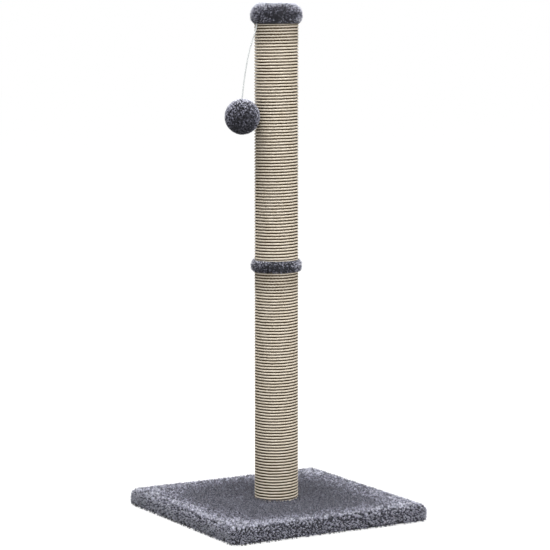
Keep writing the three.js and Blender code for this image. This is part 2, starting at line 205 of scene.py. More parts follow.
def on_cord_side(radius, height):
    """A point in the upright plane of the cord, from millimetres to metres."""
    return Vector((radius * math.cos(CORD_AZIMUTH), radius * math.sin(CORD_AZIMUTH), height)) * MM


def thick_line(name, route, diameter, steps):
    """A round tube along a smooth open curve through the route's points."""
    curve = bpy.data.curves.new(name, "CURVE")
    curve.dimensions = "3D"
    curve.bevel_depth = diameter / 2
    curve.bevel_resolution = 3
    curve.use_fill_caps = True
    curve.resolution_u = steps
    line = curve.splines.new("BEZIER")
    line.bezier_points.add(len(route) - 1)
    for point, place in zip(line.bezier_points, route):
        point.co = place
        point.handle_left_type = point.handle_right_type = "AUTO"
    return shown(name, curve)


cord_route = [on_cord_side(*point) for point in CORD_ROUTE]
cord_length = sum((b - a).length for a, b in zip(cord_route, cord_route[1:]))
cord = settled(thick_line("elastic_cord", cord_route, CORD_DIAMETER, CORD_STEPS))
for face in cord.data.polygons:
    face.use_smooth = True
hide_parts("cord_first_stretch", "cord_main_stretch")
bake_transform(cord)
print(f"cord: {cord_length * 1000:.1f} mm, {count(cord)} triangles")


# %% [markdown]
# ## The floor and the light
#
# The picture was taken in a white studio: soft light from all round, most of it from above. A white
# world with a brighter top does most of the work, and two large area lamps add the direction. The floor
# shows white to the camera but reflects little, so the ball's underside stays as dark as it is in the
# picture. Its diffuse part still takes the object's shadow.

# %% small builders for node trees
def give(node, values):
    """Sets inputs of a node, or links them where the value is an output of another node."""
    for name, value in values.items():
        if isinstance(value, bpy.types.NodeSocket):
            node.id_data.links.new(value, node.inputs[name])
        else:
            node.inputs[name].default_value = value


def add(tree, kind, values=None, **settings):
    """Adds a node, sets its properties, then gives it its inputs."""
    node = tree.nodes.new(kind)
    for name, value in settings.items():
        setattr(node, name, value)
    give(node, values or {})
    return node


def output(tree, kind, values=None, **settings):
    """Adds a node and returns its first output."""
    return add(tree, kind, values, **settings).outputs[0]


def maths(tree, operation, *values):
    """The result of a Math node."""
    return output(tree, "ShaderNodeMath", dict(enumerate(values)), operation=operation)


def seen_directly(tree):
    """1 for the camera's rays and for those that metal or glass sends on, else 0."""
    path = add(tree, "ShaderNodeLightPath").outputs
    either = maths(tree, "MAXIMUM", path["Is Camera Ray"], path["Is Glossy Ray"])
    return maths(tree, "MAXIMUM", either, path["Is Transmission Ray"])


# %% floor
FLOOR_SIDE = 30.0
FLOOR_GLOW = 0.80  # what the camera sees of it without any light
FLOOR_SHADED = 0.28  # the share that light and shadow fall on
FLOOR_REFLECTS = 0.42


def floor_material():
    """Nearly white to the camera, with the shadow, and darker in what it sends back to the object."""
    material = bpy.data.materials.new("studio_floor")
    material.use_nodes = True
    tree = material.node_tree
    tree.nodes.clear()
    glow = output(tree, "ShaderNodeEmission", {"Strength": FLOOR_GLOW})
    shaded = output(tree, "ShaderNodeBsdfDiffuse", {"Color": (FLOOR_SHADED,) * 3 + (1,)})
    plain = output(tree, "ShaderNodeBsdfDiffuse", {"Color": (FLOOR_REFLECTS,) * 3 + (1,)})
    both = output(tree, "ShaderNodeAddShader", {0: glow, 1: shaded})
    pick = output(tree, "ShaderNodeMixShader", {"Fac": seen_directly(tree), 1: plain, 2: both})
    add(tree, "ShaderNodeOutputMaterial", {"Surface": pick})
    return material


bm = bmesh.new()
bmesh.ops.create_grid(bm, x_segments=1, y_segments=1, size=FLOOR_SIDE / 2)
floor = finished("studio_floor", bm, smooth=False)
floor.data.materials.append(floor_material())

# %% world and lamps
WORLD_TOP = 1.0
WORLD_LOW = 0.42
WORLD_TURNS = (-0.1, 0.8)  # heights of the direction between which the world grows brighter
LAMPS = {  # place, side, watts
    "lamp_above": ((-0.4, -0.3, 2.9), 1.8, 95.0),
    "lamp_in_front": ((0.3, -3.2, 1.0), 2.0, 52.0),
}
LAMP_AIM = Vector((0, 0, 0.45))


def studio_world():
    """White where it is seen directly, and softer light from below than from above elsewhere."""
    world = bpy.data.worlds.new("studio")
    world.use_nodes = True
    tree = world.node_tree
    tree.nodes.clear()
    towards = add(tree, "ShaderNodeTexCoord").outputs["Generated"]
    height = add(tree, "ShaderNodeSeparateXYZ", {0: towards}).outputs["Z"]
    turns = {"From Min": WORLD_TURNS[0], "From Max": WORLD_TURNS[1]}
    rising = {"Value": height, **turns, "To Min": WORLD_LOW, "To Max": WORLD_TOP}
    level = output(tree, "ShaderNodeMapRange", rising)
    soft = output(tree, "ShaderNodeBackground", {"Strength": level})
    white = output(tree, "ShaderNodeBackground", {"Color": (1, 1, 1, 1), "Strength": 1.0})
    pick = output(tree, "ShaderNodeMixShader", {"Fac": seen_directly(tree), 1: soft, 2: white})
    add(tree, "ShaderNodeOutputWorld", {"Surface": pick})
    return world


bpy.context.scene.world = studio_world()
for name, (place, side, watts) in LAMPS.items():
    lamp = bpy.data.lights.new(name, "AREA")
    lamp.shape = "SQUARE"
    lamp.size = side
    lamp.energy = watts
    holder = shown(name, lamp)
    holder.location = place
    holder.rotation_euler = (LAMP_AIM - Vector(place)).to_track_quat("-Z", "Y").to_euler()
bpy.context.scene.view_settings.view_transform = "Standard"
print("lamps:", ", ".join(LAMPS))


# %% [markdown]
# ## The plush
#
# The plush is a backing with a short cut pile. Its tufts are light at the tips and painted dark at the roots,
# as painted shade deep in the pile, so it looks pale where the eye skims over it and dark where the eye looks
# straight into it; a painted sheen makes it paler still where the eye skims it. A bump map can't do that, and
# hair isn't a mesh. So small tufts are modelled once and planted over each cover with geometry nodes, which
# also keep them apart and lean each one its own way.

# %% one tuft
TUFT_SHAPES = 5
STRANDS = 4
STRAND_SIDES = 3
STRAND_WIDTH = 0.115  # as a share of the tuft's length
ROOT_WIDTH = 0.8  # as a share of that width
ROOT_SPREAD = 0.13
TIP_SPREAD = 0.26
SWAY = (0.2, 1.3)  # shares of that spread
WANDER = (0.3, 0.12)  # how far strands stand out of their even circle, and tips off their way
TIP_HEIGHTS = (-0.18, 0.1)
STRAND_BENDS = ((0.52, 0.3, 1.25), (1.0, 1.0, 1.0))  # height, share of the sway, widening
luck = np.random.default_rng(7)


def strand(bm, rise, edge, root, sway):
    """One bundle of fibres: it thickens up to its middle, bends, and ends in a point."""
    turned = Matrix.Translation(root) @ Matrix.Rotation(luck.uniform(0, math.tau), 4, "Z")
    ring = bmesh.ops.create_circle(
        bm, cap_ends=True, segments=STRAND_SIDES, radius=STRAND_WIDTH * ROOT_WIDTH, matrix=turned
    )["verts"]
    for corner, vertex in enumerate(ring):
        vertex[edge] = corner / STRAND_SIDES
    face = ring[0].link_faces[0]
    for height, reach, width in STRAND_BENDS:
        raised = bmesh.ops.extrude_face_region(bm, geom=[face])["geom"]
        face = next(part for part in raised if isinstance(part, bmesh.types.BMFace))
        middle = face.calc_center_median()
        place = root + sway * reach + Vector((0, 0, height))
        for vertex in face.verts:
            vertex.co = place + (vertex.co - middle) * width
            vertex[rise] = height
    bmesh.ops.pointmerge(bm, verts=face.verts[:], merge_co=place)


def tuft(number):
    """A few strands from one root, one unit tall, with their height kept as an attribute."""
    bm = bmesh.new()
    rise = bm.verts.layers.float.new("rise")
    edge = bm.verts.layers.float.new("edge")
    for n in range(STRANDS):
        angle = math.tau * (n + luck.uniform(-WANDER[0], WANDER[0])) / STRANDS
        outwards = Vector((math.cos(angle), math.sin(angle), 0))
        sway = outwards * TIP_SPREAD * luck.uniform(*SWAY)
        sway += Vector((*luck.uniform(-WANDER[1], WANDER[1], 2), luck.uniform(*TIP_HEIGHTS)))
        strand(bm, rise, edge, outwards * ROOT_SPREAD, sway)
    shape = finished(f"tuft_{number}", bm)
    bpy.context.scene.collection.objects.unlink(shape)
    return shape


tufts = bpy.data.collections.new("tufts")
for number in range(TUFT_SHAPES):
    tufts.objects.link(tuft(number))


# %% [markdown]
# ## Planting the pile
#
# The covers are made further down, each with a number on its faces that says how long the pile stands
# there. Roots are thrown at random onto a cover, and one that lands too near an earlier one is dropped,
# so the pile is even but not in rows. Blender's own scatter node can keep such a spacing too, but it
# drops other points on each run, and this script has to give the same result every time. A small
# geometry node tree then puts a tuft on each root, turns it upright and leans it at random.

# %% throw the roots
PILE_SPACING = 1.95 * MM
THROWS = 4.5  # points thrown for each square of one spacing


def triangles_of(mesh):
    """The corners and the face of each triangle, with every face cut from its lowest corner on."""
    corners, owner = [], []
    for face in mesh.polygons:
        ring = list(face.vertices)
        first = ring.index(min(ring))
        ring = ring[first:] + ring[:first]
        for pair in zip(ring[1:], ring[2:]):
            corners.append((ring[0], *pair))
            owner.append(face.index)
    return np.array(corners), np.array(owner)


def roots_on(cover, seed):
    """Places, normals and pile lengths of the roots on a cover."""
    mesh = cover.data
    place = np.array([v.co for v in mesh.vertices])
    share = np.zeros(len(mesh.polygons), np.float32)
    mesh.attributes["pile"].data.foreach_get("value", share)
    corners, owner = triangles_of(mesh)
    a, b, c = (place[corners[:, n]] for n in range(3))
    cross = np.cross(b - a, c - a)
    size = np.linalg.norm(cross, axis=1)
    weight = size * (share[owner] > 0)
    dice = np.random.default_rng(seed)
    thrown = int(THROWS * weight.sum() / 2 / PILE_SPACING**2)
    hit = dice.choice(len(corners), thrown, p=weight / weight.sum())
    u, v = dice.random((2, thrown))
    u, v = np.where(u + v > 1, 1 - u, u), np.where(u + v > 1, 1 - v, v)
    points = a[hit] + u[:, None] * (b - a)[hit] + v[:, None] * (c - a)[hit]
    tree = KDTree(thrown)
    for n, point in enumerate(points):
        tree.insert(point, n)
    tree.balance()
    free = np.ones(thrown, bool)
    for n, point in enumerate(points):
        if free[n]:
            near = [m for _, m, _ in tree.find_range(point, PILE_SPACING)]
            free[near] = False
            free[n] = True
    upright = cross[hit] / size[hit, None]
    return points[free], upright[free], share[owner[hit]][free]


# %% the planter
PILE_LENGTH = 3.9 * MM
PILE_RANGE = (0.72, 1.18)  # how much shorter and longer than that single tufts are
PILE_LEAN = (0.42, 0.42, math.pi)  # radians, at most, about each axis of the tuft


def named(tree, name, kind="FLOAT"):
    return output(tree, "GeometryNodeInputNamedAttribute", {"Name": name}, data_type=kind)


def chance(tree, low, high, seed, kind="FLOAT"):
    """A random value for each root."""
    values = {"Min": low, "Max": high, "Seed": seed}
    return add(tree, "FunctionNodeRandomValue", values, data_type=kind).outputs["Value"]


def kept(tree, geometry, name, value, kind="FLOAT"):
    """Remembers a value on each instance under a name."""
    values = {"Geometry": geometry, "Name": name, "Value": value}
    return output(tree, "GeometryNodeStoreNamedAttribute", values, data_type=kind, domain="INSTANCE")


def tuft_turn(tree, lay, lay_share):
    """How a tuft is turned: upright on its root, laid over a little one way, then leant at random."""
    upright = {"Vector": named(tree, "upright", "FLOAT_VECTOR")}
    stood = output(tree, "FunctionNodeAlignRotationToVector", upright, axis="Z")
    over = {"Rotation": stood, "Factor": lay_share, "Vector": lay}
    laid = output(tree, "FunctionNodeAlignRotationToVector", over, axis="Z")
    lean = chance(tree, [-most for most in PILE_LEAN], PILE_LEAN, 0, "FLOAT_VECTOR")
    both = {"Rotation": laid, "Rotate By": output(tree, "FunctionNodeEulerToRotation", {0: lean})}
    return output(tree, "FunctionNodeRotateRotation", both, rotation_space="LOCAL")


def planter(lay, lay_share):
    """A geometry node tree that puts a tuft on each root."""
    tree = bpy.data.node_groups.new("planter", "GeometryNodeTree")
    for way in ("INPUT", "OUTPUT"):
        tree.interface.new_socket("Geometry", in_out=way, socket_type="NodeSocketGeometry")
    choice = {"Collection": tufts, "Separate Children": True, "Reset Children": True}
    length = chance(tree, PILE_RANGE[0] * PILE_LENGTH, PILE_RANGE[1] * PILE_LENGTH, 2)
    planting = {
        "Points": output(tree, "NodeGroupInput"),
        "Instance": output(tree, "GeometryNodeCollectionInfo", choice),
        "Pick Instance": True,
        "Instance Index": chance(tree, 0, TUFT_SHAPES - 1, 1, "INT"),
        "Rotation": tuft_turn(tree, lay, lay_share),
        "Scale": maths(tree, "MULTIPLY", length, named(tree, "pile")),
    }
    planted = output(tree, "GeometryNodeInstanceOnPoints", planting)
    placed = kept(tree, planted, "tuft_at", output(tree, "GeometryNodeInputPosition"), "FLOAT_VECTOR")
    lucky = kept(tree, placed, "luck", chance(tree, 0.0, 1.0, 3))
    add(tree, "NodeGroupOutput", {0: output(tree, "GeometryNodeRealizeInstances", {0: lucky})})
    return tree


# %% [markdown]
# ## Covers
#
# Under the pile lies the backing cloth. The board's cover is one square of plush, wrapped over the
# edges and stapled underneath as a hem. The cap, the collar and the ball are round, so they are spun
# from half an outline. Each cover is first a single surface, from which the pile grows, and then gets
# its thickness inwards with a Solidify modifier. The collar needs none, as its outline is closed.

# %% cover sizes
PILE_STANDS = 2.7 * MM  # how far the pile reaches past the backing before it opens
BACKING = 1.0 * MM
base_low, base_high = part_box("base_plush")
rope_low, rope_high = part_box("lower_sisal")
foot_radius = rope_high.x
tube_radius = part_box("lower_tube")[1].x


def circle_edges(bm, radius, height, steps):
    made = bmesh.ops.create_circle(
        bm, segments=steps, radius=radius, matrix=Matrix.Translation((0, 0, height))
    )
    return list(dict.fromkeys(edge for vertex in made["verts"] for edge in vertex.link_edges))


# %% the board's cover
BASE_CORNER = (14 * MM - PILE_STANDS, 7)  # radius, and segments
BASE_TOP_EDGE = (7.5 * MM, 5)
BASE_LOW_EDGE = (1.4 * MM, 3)
HEM_LIFT = 2.1 * MM  # height of the hem's cloth over the floor
HEM_WIDTH = 30 * MM
HEM_PILE = 0.42  # the hem's pile is pressed flat by the weight
FOOT_GAP = 0.2 * MM  # between the rope and the cloth
FOOT_SWELL = (9 * MM, 1.3 * MM)  # the cloth swells round the post's foot: width and rise
SWELL_RINGS = (1.0, 0.6, 0.3, 0.0)  # shares of that width
SWELL_CURVE = 1.5
BOLT_ROOM = 5.2 * MM
ROUND_STEPS = 48


def bevelled(bm, picked, width, segments):
    bmesh.ops.bevel(
        bm, geom=picked, offset=width, segments=segments, profile=0.5, affect="EDGES", material=-1
    )


def at_height(bm, height):
    """The edges whose two ends lie at one height."""
    return [e for e in bm.edges if all(abs(v.co.z - height) < 1e-6 for v in e.verts)]


def base_surface():
    """A rounded slab, open below inside the hem and above round the bolt."""
    bm = bmesh.new()
    side = base_high.x - base_low.x - 2 * PILE_STANDS
    top = base_high.z - PILE_STANDS
    middle = Matrix.Translation((0, 0, (top + HEM_LIFT) / 2))
    bmesh.ops.create_cube(bm, size=1, matrix=middle @ Matrix.Diagonal((side, side, top - HEM_LIFT, 1)))
    upright = [e for e in bm.edges if abs(e.verts[0].co.z - e.verts[1].co.z) > MM]
    bevelled(bm, upright, *BASE_CORNER)
    bevelled(bm, at_height(bm, top), *BASE_TOP_EDGE)
    bevelled(bm, at_height(bm, HEM_LIFT), *BASE_LOW_EDGE)
    pile = bm.faces.layers.float.new("pile")
    lid = max(bm.faces, key=lambda f: f.calc_center_median().z)
    sole = min(bm.faces, key=lambda f: f.calc_center_median().z)
    for face in bm.faces:
        face[pile] = 1.0
    sole[pile] = HEM_PILE
    bmesh.ops.inset_region(bm, faces=[sole], thickness=HEM_WIDTH, use_even_offset=True)
    bmesh.ops.delete(bm, geom=[sole], context="FACES_ONLY")
    edge = list(lid.edges)
    bmesh.ops.delete(bm, geom=[lid], context="FACES_ONLY")
    for share in SWELL_RINGS:
        width, rise = FOOT_SWELL[0] * share, FOOT_SWELL[1] * (1 - share) ** SWELL_CURVE
        ring = circle_edges(bm, foot_radius + FOOT_GAP + width, top + rise, ROUND_STEPS)
        for face in bmesh.ops.bridge_loops(bm, edges=edge + ring)["faces"]:
            face[pile] = 1.0
        edge = ring
    hole = circle_edges(bm, BOLT_ROOM, top, ROUND_STEPS)
    for face in bmesh.ops.bridge_loops(bm, edges=edge + hole)["faces"]:
        face[pile] = 0.0
    return finished("base_cover", bm)


# %% round covers
ROUND_COVER_STEPS = 96


def spun(name, outline, closed, bare=lambda face: False):
    """Spins half an outline, in millimetres, round the post's axis and marks where pile grows."""
    bm = bmesh.new()
    row = [bm.verts.new((radius * MM, 0, height * MM)) for radius, height in outline]
    ends = row[1:] + row[:1] if closed else row[1:]
    edges = [bm.edges.new(pair) for pair in zip(row, ends)]
    bmesh.ops.spin(
        bm, geom=row + edges, cent=(0, 0, 0), axis=(0, 0, 1), angle=math.tau, steps=ROUND_COVER_STEPS,
        use_merge=True,
    )
    bmesh.ops.remove_doubles(bm, verts=bm.verts, dist=0.01 * MM)
    pile = bm.faces.layers.float.new("pile")
    bm.normal_update()
    for face in bm.faces:
        face[pile] = 0.0 if bare(face) else 1.0
    return finished(name, bm)


def bulge(corner, radius, drop, power, steps):
    """A rounded shoulder from straight up at the side to level at the top, as outline points."""
    turns = [math.pi / 2 * n / steps for n in range(steps + 1)]
    return [
        (
            corner[0] + radius * math.cos(a) ** (2 / power),
            corner[1] + drop * math.sin(a) ** (2 / power),
        )
        for a in turns
    ]


# %% the cap's cover
CAP_FLAT = 22.0
CAP_SHOULDER = 783.0
CAP_POWER = 2.1
CAP_WIDEST = 781.5
CAP_LIP = (33.0, 770.3)
CAP_RISE = 1.9  # the pile stands up on the flat top
DOME_STEPS = 12
UNDER_STEPS = 4
cap_low, cap_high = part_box("cap_plush")
cap_radius = cap_high.x / MM - PILE_STANDS / MM
cap_top = cap_high.z / MM - PILE_STANDS / MM + CAP_RISE
CORD_ROOM = 37.3  # the backing passes outside the cord's tail, so the tail shows as a faint ridge
CORD_RIDGE = 2.6
RIDGE_ENDS = 785.0


def cap_surface():
    """A dome over an underside that curls in, with a faint ridge over the cord's tail."""
    height = cap_top - CAP_SHOULDER
    dome = bulge((CAP_FLAT, CAP_SHOULDER), cap_radius - CAP_FLAT, height, CAP_POWER, DOME_STEPS)
    turns = [math.pi / 2 * n / UNDER_STEPS for n in range(UNDER_STEPS + 1)]
    under = [
        (
            cap_radius - (cap_radius - CAP_LIP[0]) * (1 - math.sin(a)),
            CAP_WIDEST - (CAP_WIDEST - CAP_LIP[1]) * math.cos(a),
        )
        for a in turns
    ]
    cover = spun("cap_cover", under + dome + [(CAP_FLAT / 2, cap_top), (0, cap_top)], closed=False)
    for vertex in cover.data.vertices:
        across = (vertex.co - on_cord_side(vertex.co.xy.length / MM, vertex.co.z / MM)).length
        near = math.exp(-((across / (CORD_RIDGE * MM)) ** 2))
        grown = max(vertex.co.xy.length, CORD_ROOM * MM)
        if vertex.co.z < RIDGE_ENDS * MM:
            vertex.co.xy *= 1 + near * (grown / vertex.co.xy.length - 1)
    return cover


# %% the collar's and the ball's covers
COLLAR_POWER = 2.4
COLLAR_RAISED = 0.8  # pushed up a little against the upper winding
COLLAR_PILE = 2.4
COLLAR_INSIDE = 0.4  # room round the tube
COLLAR_FLAT = 2.0  # level part of its top, next to the tube
COLLAR_STEPS = 8
BARE_INSIDE = 1.5  # no pile grows nearer to the tube than this
collar_low, collar_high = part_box("collar_plush")
BALL_HOLE = 1.3
BALL_PILE = 1.25
BALL_STEPS = (40, 28)
ball_low, ball_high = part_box("ball_plush")
ball_centre = (ball_low + ball_high) / 2


def collar_surface():
    """A stuffed band: flat against the tube and rounded outside."""
    middle = (collar_low.z + collar_high.z) / 2 / MM + COLLAR_RAISED
    half = (collar_high.z - collar_low.z) / 2 / MM - COLLAR_PILE
    inner = tube_radius / MM + COLLAR_INSIDE
    outer = collar_high.x / MM - PILE_STANDS / MM
    corner = (inner + COLLAR_FLAT, middle)
    upper = bulge(corner, outer - inner - COLLAR_FLAT, half, COLLAR_POWER, COLLAR_STEPS)
    lower = [(radius, 2 * middle - height) for radius, height in upper[:0:-1]]
    ring = [(inner, middle - half)] + lower + upper + [(inner, middle + half)]
    bare_below = (inner + BARE_INSIDE) * MM
    return spun(
        "collar_cover", ring, closed=True,
        bare=lambda face: face.calc_center_median().xy.length < bare_below,
    )


def ball_surface():
    """A ball, open at the top where the cord goes in."""
    bm = bmesh.new()
    radius = (ball_high.z - ball_low.z) / 2 - PILE_STANDS
    bmesh.ops.create_uvsphere(bm, u_segments=BALL_STEPS[0], v_segments=BALL_STEPS[1], radius=radius)
    poles = [v for v in bm.verts if v.co.z > radius - 1e-6]
    bmesh.ops.delete(bm, geom=poles, context="VERTS")
    top = max(v.co.z for v in bm.verts)
    for vertex in [v for v in bm.verts if v.co.z > top - 1e-6]:
        vertex.co.xy *= BALL_HOLE * MM / vertex.co.xy.length
        vertex.co.z = math.sqrt(radius**2 - (BALL_HOLE * MM) ** 2)
    bmesh.ops.translate(bm, verts=bm.verts, vec=ball_centre)
    pile = bm.faces.layers.float.new("pile")
    for face in bm.faces:
        face[pile] = 1.0
    return finished("ball_cover", bm)


# %% how long the pile stands
# The pile grows from a share of its length to all of it between two heights, or between two radii.
NEAR_FLOOR = (0.85, 2 * MM, 7 * MM)
CAP_LIP_HEIGHTS = (0.4, 770 * MM, 778 * MM)
COLLAR_LIP_RADII = (0.5, 33 * MM, 36.5 * MM)
RIM_OF_TOP = (0.8, 1.0)  # the top's pile grows longer between these shares of the way to the edge
RIM_HEIGHTS = (20 * MM, 25 * MM)
RIM_LONGER = 0.28


def way_out(places):
    """How far a place is on the way from the post to the board's edge, by a rounded square."""
    x, y = np.abs(places[:, 0]), np.abs(places[:, 1])
    return (x**4 + y**4) ** 0.25 / base_high.x


def growing(start, low, high, value):
    """Rises smoothly from a start to 1."""
    return start + (1 - start) * smooth_step(low, high, value)


def base_length(places):
    """Longer on the open rim of the top, and a little shorter at the floor."""
    height = places[:, 2]
    on_rim = smooth_step(*RIM_OF_TOP, way_out(places)) * smooth_step(*RIM_HEIGHTS, height)
    return growing(*NEAR_FLOOR, height) * (1 + RIM_LONGER * on_rim)


def cap_length(places):
    """Short at the lip, which is turned in and stapled."""
    return growing(*CAP_LIP_HEIGHTS, places[:, 2])


def collar_length(places):
    """Short at both lips, next to the rope."""
    return growing(*COLLAR_LIP_RADII, np.hypot(places[:, 0], places[:, 1]))


def ball_length(places):
    """Long all round, because it is trimmed afterwards."""
    return np.full(len(places), BALL_PILE)


# %% [markdown]
# ## Tone of the pile
#
# On the real plush each tuft is a little lighter or darker than the next. Painted light and shade go in too:
# the pile is painted paler where the cloth bends over an edge and at the corners, darker in the middle of the
# board's top and towards the floor, darker and lighter in broad areas where a hand's brushing laid the pile
# over, lighter above and darker below on the round covers, and lighter at the lower lips next to the rope.
# All of it goes into one number a tuft. The material then only turns tone and height into a colour.

# %% tones
TUFT_POINTS = len(tufts.objects[0].data.vertices)
BRUSHED_LIGHT_AND_SHADE = [  # painted light and shade where the board's pile lies over: centre and half widths in millimetres, and its tone
    ((62, -70), (38, 26), -0.13),
    ((-35, -20), (55, 60), -0.06),
    ((-75, 62), (42, 30), -0.05),
    ((112, -128), (12, 26), -0.17),
    ((75, 5), (22, 34), -0.10),
    ((-150, 30), (14, 60), 0.04),
    ((100, -165), (70, 14), 0.05),
    ((-121, 21), (22, 80), -0.07),
    ((-93, -103), (35, 35), -0.07),
    ((130, -42), (16, 70), 0.11),
    ((150, -125), (14, 30), -0.07),
]
BOWL = (0.56, 1.02)  # painted shade in the middle of the board's top, turning to painted light between these shares of the way to the edge
BOWL_SHADE_TO_LIGHT = (-0.72, -0.18)
CORNER_OPENS = (225 * MM, 240 * MM)  # distances from the post between which a corner gets painted light, as the pile opens there
CORNER_LIGHT_PAINTED = 0.42
EDGE_HEIGHTS = (19 * MM, 25.5 * MM)  # the side turns into the top between these heights
# painted light on the board's upright sides
SIDE_LIGHT_PAINTED = 0.83
FOOT_HEIGHTS = (1 * MM, 10 * MM)  # the side gets painted shade towards the floor
FOOT_SHADE_PAINTED = -0.72
LIP_LIGHT_PAINTED = 0.62  # painted light at the lower lips of the cap and the collar, as reflected from the rope below
LIP_SPREAD = 0.5
CLOUD_SHIFT = (17.3, 5.1, 9.7)
CLOUDS = ((0.10, 40 * MM, 1), (0.12, 11 * MM, 2))  # depth, size and seed
ROUND_CLOUDS = (0.16, 12 * MM, 3)
TUFTS_DIFFER = (0.90, 0.40, 0.45)  # in the middle, and more on open pile and on the side


def cloudy(places, size, seed):
    """Soft noise from about -0.5 to 0.5, with lumps of the given size."""
    shift = Vector([seed * step for step in CLOUD_SHIFT])
    return np.array([noise.noise(Vector(p) / size + shift) for p in places]) * 0.8


def base_tones(places):
    """Tone and how far tufts differ. The middle gets painted shade and evener tufts, the rim painted light
    where the pile stands open.
    """
    open_pile = smooth_step(*BOWL, way_out(places))
    on_side = 1 - smooth_step(*EDGE_HEIGHTS, places[:, 2])
    at_foot = 1 - smooth_step(*FOOT_HEIGHTS, places[:, 2])
    at_corner = smooth_step(*CORNER_OPENS, np.hypot(places[:, 0], places[:, 1]))
    tone = BOWL_SHADE_TO_LIGHT[0] + (BOWL_SHADE_TO_LIGHT[1] - BOWL_SHADE_TO_LIGHT[0]) * open_pile
    for (cx, cy), (wx, wy), depth in BRUSHED_LIGHT_AND_SHADE:
        apart = ((places[:, 0] / MM - cx) / wx) ** 2 + ((places[:, 1] / MM - cy) / wy) ** 2
        tone += depth * (1 - on_side) * np.exp(-apart)
    tone += SIDE_LIGHT_PAINTED * on_side + FOOT_SHADE_PAINTED * at_foot + CORNER_LIGHT_PAINTED * at_corner
    tone += sum(depth * cloudy(places, size, seed) for depth, size, seed in CLOUDS)
    trodden, opened, beside = TUFTS_DIFFER
    return tone, trodden + opened * open_pile + beside * on_side


def round_tones(middle, half, slope, offset=-0.12, lip=None):
    """A tone function for a round cover: painted shade below, painted light above, and painted light at a
    lower lip.
    """
    depth, size, seed = ROUND_CLOUDS

    def tones(places):
        height = np.clip((places[:, 2] - middle) / half, -1, 1)
        lit_lip = 1 - smooth_step(*lip, places[:, 2]) if lip else 0
        # the slope paints light on the upper part and shade on the lower part
        tone = slope * height + offset + depth * cloudy(places, size, seed)
        return tone + LIP_LIGHT_PAINTED * lit_lip, 1 + LIP_SPREAD * lit_lip

    return tones


cap_tones = round_tones(790 * MM, 15 * MM, 0.56, lip=(777 * MM, 783 * MM))
collar_tones = round_tones((collar_low.z + collar_high.z) / 2, 9 * MM, 0.53, lip=(386 * MM, 391 * MM))
ball_tones = round_tones(ball_centre.z, 27 * MM, 0.26, offset=-0.21)


# %% pile pieces
TONE_MIDDLE = 0.5
TONE_LIMITS = (0.02, 0.98)
PAINTED_SHEEN_FACING = (-0.95, 0.1)  # a tuft gets its painted sheen, pale at the rims, between these heights of its cloth's direction
BASE_SECTORS = 8
PILES = {  # cover: (body, tones, length, lay, share of the lay, how much paler the painted sheen makes it where the eye skims it)
    "base_cover": ("stand", base_tones, base_length, (-0.5, -0.8, 0.2), 0.10, 0.75),
    "cap_cover": ("stand", cap_tones, cap_length, (-0.5, -0.3, -0.8), 0.16, 4.2),
    "collar_cover": ("stand", collar_tones, collar_length, (0, 0, -1), 0.10, 3.4),
    "ball_cover": ("ball", ball_tones, ball_length, (0.3, -0.2, -1), 0.04, 4.2),
}
PRESSED = 0.15 * MM  # no pile of the board goes lower than this, because the floor presses it
BALL_REACH = np.array((27.45, 27.45, 28.1)) * MM  # the ball's trimmed half sizes, clear of the winding


def toned(pile, tones, velvet):
    """Writes the tone of each tuft on its points, and a map with tone across and height up."""
    mesh = pile.data
    places = numbers(mesh, "tuft_at", 3)[::TUFT_POINTS]
    chance = numbers(mesh, "luck")[::TUFT_POINTS]
    broad, apart = tones(places)
    tone = TONE_MIDDLE + apart * (chance - 0.5) + broad
    tone = np.repeat(np.clip(tone, *TONE_LIMITS), TUFT_POINTS).astype(np.float32)
    mesh.attributes.new("tone", "FLOAT", "POINT").data.foreach_set("value", tone)
    # painted sheen: how much paler a tuft is painted where the eye skims its cloth, none on cloth that faces
    # down
    facing_up = smooth_step(*PAINTED_SHEEN_FACING, numbers(mesh, "upright", 3)[:, 2])
    mesh.attributes.new("velvet", "FLOAT", "POINT").data.foreach_set("value", velvet * facing_up)
    corner = np.zeros(len(mesh.loops), np.int32)
    mesh.loops.foreach_get("vertex_index", corner)
    across = 0.98 * tone + 0.01 * numbers(mesh, "edge")
    layer = mesh.uv_layers.new(name="OFBake")
    both = np.stack([across[corner], 0.02 + 0.96 * numbers(mesh, "rise")[corner]], 1)
    layer.uv.foreach_set("vector", both.astype(np.float32).ravel())
    for name in ("tuft_at", "luck", "edge"):
        mesh.attributes.remove(mesh.attributes[name])
    mesh.polygons.foreach_set("use_smooth", np.ones(len(mesh.polygons), bool))


def trimmed(places, cover_name):
    """Keeps the pile off the floor, and trims the ball's to a true round."""
    places[:, 2] = np.maximum(places[:, 2], PRESSED)
    if cover_name == "ball_cover":
        out = places - ball_centre
        share = np.linalg.norm(out / BALL_REACH, axis=1, keepdims=True)
        places = np.array(ball_centre) + out / np.maximum(1, share)
    return places


def planted(cover, name, roots):
    """The pile that grows from some roots of a cover, as a piece of its own."""
    body, tones, length_at, lay, share, velvet = PILES[cover.name]
    places, upright, length = roots
    length = (length * length_at(places)).astype(np.float32)
    mesh = bpy.data.meshes.new(name)
    mesh.vertices.add(len(places))
    mesh.vertices.foreach_set("co", places.ravel())
    mesh.attributes.new("upright", "FLOAT_VECTOR", "POINT").data.foreach_set("vector", upright.ravel())
    mesh.attributes.new("pile", "FLOAT", "POINT").data.foreach_set("value", length)
    ground = shown(name, mesh)
    ground.modifiers.new("planter", "NODES").node_group = planter(lay, share)
    pile = settled(ground)
    toned(pile, tones, velvet)
    corners = np.zeros(len(pile.data.vertices) * 3, np.float32)
    pile.data.vertices.foreach_get("co", corners)
    corners = trimmed(corners.reshape(-1, 3), cover.name)
    pile.data.vertices.foreach_set("co", corners.astype(np.float32).ravel())
    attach(pile, body)
    return pile


